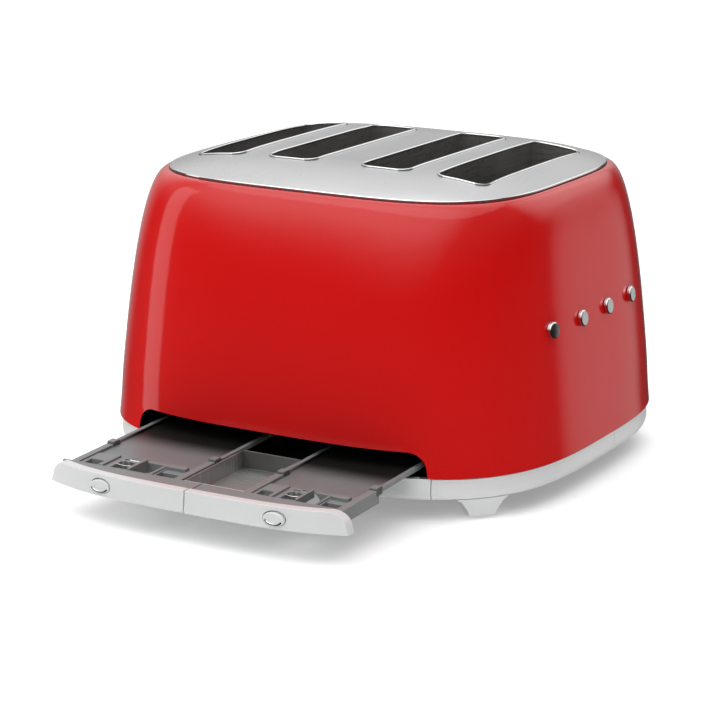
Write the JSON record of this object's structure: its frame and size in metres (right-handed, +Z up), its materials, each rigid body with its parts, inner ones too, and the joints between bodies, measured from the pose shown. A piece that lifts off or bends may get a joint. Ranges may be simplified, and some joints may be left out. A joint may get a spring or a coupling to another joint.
{
  "type": "pop-up toaster",
  "caption": "Wide pop-up toaster with lengthwise bread slots, rounded enamel casing, domed steel top plate, side levers and pull-out crumb trays.",
  "frame": {"origin": "centre of the casing's outline on the plane the feet stand on", "axes": "+Z up, +Y towards the face the crumb trays come out of, +X across the bread slots"},
  "size_m": [0.34, 0.4599, 0.2149],
  "materials": {
    "red_enamel": "gloss",
    "satin_steel": "satin",
    "chrome_plate": "polished",
    "satin_alloy": "satin",
    "black_rubber": "matte",
    "grey_plastic": "matte",
    "black_plastic": "matte",
    "bin_steel": "satin",
    "mica_board": "matte",
    "board_laminate": "matte",
    "wire_steel": "bright",
    "magnet_iron": "matte",
    "zinc_sheet": "plain"
  },
  "bodies": {
    "casing": {"body_shell": "red_enamel", "top_plate": "satin_steel", "slot_collars": "satin_steel", "side_studs_left": "chrome_plate", "side_studs_right": "chrome_plate", "base_band_rear": "satin_alloy", "base_band_left": "satin_alloy", "base_band_right": "satin_alloy", "base_band_front": "satin_alloy", "foot_pads": "black_rubber", "base_plate": "zinc_sheet", "cord_gland": "black_plastic", "bulkhead_rear": "zinc_sheet", "bulkhead_front": "zinc_sheet", "heater_board_1": "mica_board", "heater_board_2": "mica_board", "heater_board_3": "mica_board", "heater_board_4": "mica_board", "heater_board_5": "mica_board", "heater_board_6": "mica_board", "guide_rod_left": "wire_steel", "guide_rod_right": "wire_steel", "return_spring_left": "wire_steel", "return_spring_right": "wire_steel", "electromagnet_left": "magnet_iron", "electromagnet_right": "magnet_iron", "control_board": "board_laminate"},
    "tray_left": {"tray_front_left": "satin_alloy", "tray_frame_left": "grey_plastic", "tray_pan_left": "bin_steel"},
    "tray_right": {"tray_front_right": "satin_alloy", "tray_frame_right": "grey_plastic", "tray_pan_right": "bin_steel", "tray_centre_bin": "bin_steel"},
    "tray_button_left": {"tray_button_left": "satin_alloy"},
    "carriage_left": {"carriage_left": "zinc_sheet", "bread_rests_left": "zinc_sheet", "lever_knob_left": "chrome_plate"},
    "dial_left": {"browning_dial_left": "chrome_plate"},
    "button_left_1": {"push_button_left_1": "chrome_plate"},
    "button_left_2": {"push_button_left_2": "chrome_plate"},
    "button_left_3": {"push_button_left_3": "chrome_plate"},
    "tray_button_right": {"tray_button_right": "satin_alloy"},
    "carriage_right": {"carriage_right": "zinc_sheet", "bread_rests_right": "zinc_sheet", "lever_knob_right": "chrome_plate"},
    "dial_right": {"browning_dial_right": "chrome_plate"},
    "button_right_1": {"push_button_right_1": "chrome_plate"},
    "button_right_2": {"push_button_right_2": "chrome_plate"},
    "button_right_3": {"push_button_right_3": "chrome_plate"},
    "guide_1": {"bread_guide_1": "wire_steel"},
    "guide_2": {"bread_guide_2": "wire_steel"},
    "guide_3": {"bread_guide_3": "wire_steel"},
    "guide_4": {"bread_guide_4": "wire_steel"},
    "guide_5": {"bread_guide_5": "wire_steel"},
    "guide_6": {"bread_guide_6": "wire_steel"},
    "guide_7": {"bread_guide_7": "wire_steel"},
    "guide_8": {"bread_guide_8": "wire_steel"}
  },
  "joints": [
    {"name": "tray_left_slide", "type": "slide", "parent": "casing", "child": "tray_left", "axis": [0, 0.9948, -0.102], "range_m": [-0.10193, 0]},
    {"name": "tray_button_left_press", "type": "slide", "parent": "tray_left", "child": "tray_button_left", "axis": [0, -1, 0], "range_m": [0, 0.002], "stiffness_N_per_m": 400, "springref_m": -0.002},
    {"name": "carriage_left_lift", "type": "slide", "parent": "casing", "child": "carriage_left", "axis": [0, 0, 1], "range_m": [-0.062, 0], "stiffness_N_per_m": 80, "springref_m": 0.08, "deforming": ["return_spring_left"]},
    {"name": "dial_left_turn", "type": "hinge", "parent": "casing", "child": "dial_left", "pos_m": [0.096, -0.16, 0.063], "axis": [0, -1, 0], "range_deg": [-135, 135]},
    {"name": "button_left_1_press", "type": "slide", "parent": "casing", "child": "button_left_1", "axis": [0, 1, 0], "range_m": [0, 0.002], "stiffness_N_per_m": 400, "springref_m": -0.002},
    {"name": "button_left_2_press", "type": "slide", "parent": "casing", "child": "button_left_2", "axis": [0, 1, 0], "range_m": [0, 0.002], "stiffness_N_per_m": 400, "springref_m": -0.002},
    {"name": "button_left_3_press", "type": "slide", "parent": "casing", "child": "button_left_3", "axis": [0, 1, 0], "range_m": [0, 0.002], "stiffness_N_per_m": 400, "springref_m": -0.002},
    {"name": "tray_right_slide", "type": "slide", "parent": "casing", "child": "tray_right", "axis": [0, 0.9948, -0.102], "range_m": [-0.10193, 0]},
    {"name": "tray_button_right_press", "type": "slide", "parent": "tray_right", "child": "tray_button_right", "axis": [0, -1, 0], "range_m": [0, 0.002], "stiffness_N_per_m": 400, "springref_m": -0.002},
    {"name": "carriage_right_lift", "type": "slide", "parent": "casing", "child": "carriage_right", "axis": [0, 0, 1], "range_m": [-0.062, 0], "stiffness_N_per_m": 80, "springref_m": 0.08, "deforming": ["return_spring_right"]},
    {"name": "dial_right_turn", "type": "hinge", "parent": "casing", "child": "dial_right", "pos_m": [-0.096, -0.16, 0.063], "axis": [0, -1, 0], "range_deg": [-135, 135]},
    {"name": "button_right_1_press", "type": "slide", "parent": "casing", "child": "button_right_1", "axis": [0, 1, 0], "range_m": [0, 0.002], "stiffness_N_per_m": 400, "springref_m": -0.002},
    {"name": "button_right_2_press", "type": "slide", "parent": "casing", "child": "button_right_2", "axis": [0, 1, 0], "range_m": [0, 0.002], "stiffness_N_per_m": 400, "springref_m": -0.002},
    {"name": "button_right_3_press", "type": "slide", "parent": "casing", "child": "button_right_3", "axis": [0, 1, 0], "range_m": [0, 0.002], "stiffness_N_per_m": 400, "springref_m": -0.002},
    {"name": "guide_1_swing", "type": "hinge", "parent": "casing", "child": "guide_1", "pos_m": [-0.109, 0, 0.066], "axis": [0, 1, 0], "range_deg": [0, 4.6]},
    {"name": "guide_2_swing", "type": "hinge", "parent": "casing", "child": "guide_2", "pos_m": [-0.078, 0, 0.066], "axis": [0, -1, 0], "range_deg": [0, 4.6]},
    {"name": "guide_3_swing", "type": "hinge", "parent": "casing", "child": "guide_3", "pos_m": [-0.0515, 0, 0.066], "axis": [0, 1, 0], "range_deg": [0, 4.6]},
    {"name": "guide_4_swing", "type": "hinge", "parent": "casing", "child": "guide_4", "pos_m": [-0.0205, 0, 0.066], "axis": [0, -1, 0], "range_deg": [0, 4.6]},
    {"name": "guide_5_swing", "type": "hinge", "parent": "casing", "child": "guide_5", "pos_m": [0.0205, 0, 0.066], "axis": [0, 1, 0], "range_deg": [0, 4.6]},
    {"name": "guide_6_swing", "type": "hinge", "parent": "casing", "child": "guide_6", "pos_m": [0.0515, 0, 0.066], "axis": [0, -1, 0], "range_deg": [0, 4.6]},
    {"name": "guide_7_swing", "type": "hinge", "parent": "casing", "child": "guide_7", "pos_m": [0.078, 0, 0.066], "axis": [0, 1, 0], "range_deg": [0, 4.6]},
    {"name": "guide_8_swing", "type": "hinge", "parent": "casing", "child": "guide_8", "pos_m": [0.109, 0, 0.066], "axis": [0, -1, 0], "range_deg": [0, 4.6]}
  ],
  "couplings": [
    {"joint": "tray_left_slide", "follows": "tray_right_slide", "ratio": 1},
    {"joint": "guide_1_swing", "follows": "carriage_right_lift", "rad_per_m": -1.2661},
    {"joint": "guide_2_swing", "follows": "carriage_right_lift", "rad_per_m": -1.2661},
    {"joint": "guide_3_swing", "follows": "carriage_right_lift", "rad_per_m": -1.2661},
    {"joint": "guide_4_swing", "follows": "carriage_right_lift", "rad_per_m": -1.2661},
    {"joint": "guide_5_swing", "follows": "carriage_left_lift", "rad_per_m": -1.2661},
    {"joint": "guide_6_swing", "follows": "carriage_left_lift", "rad_per_m": -1.2661},
    {"joint": "guide_7_swing", "follows": "carriage_left_lift", "rad_per_m": -1.2661},
    {"joint": "guide_8_swing", "follows": "carriage_left_lift", "rad_per_m": -1.2661}
  ]
}
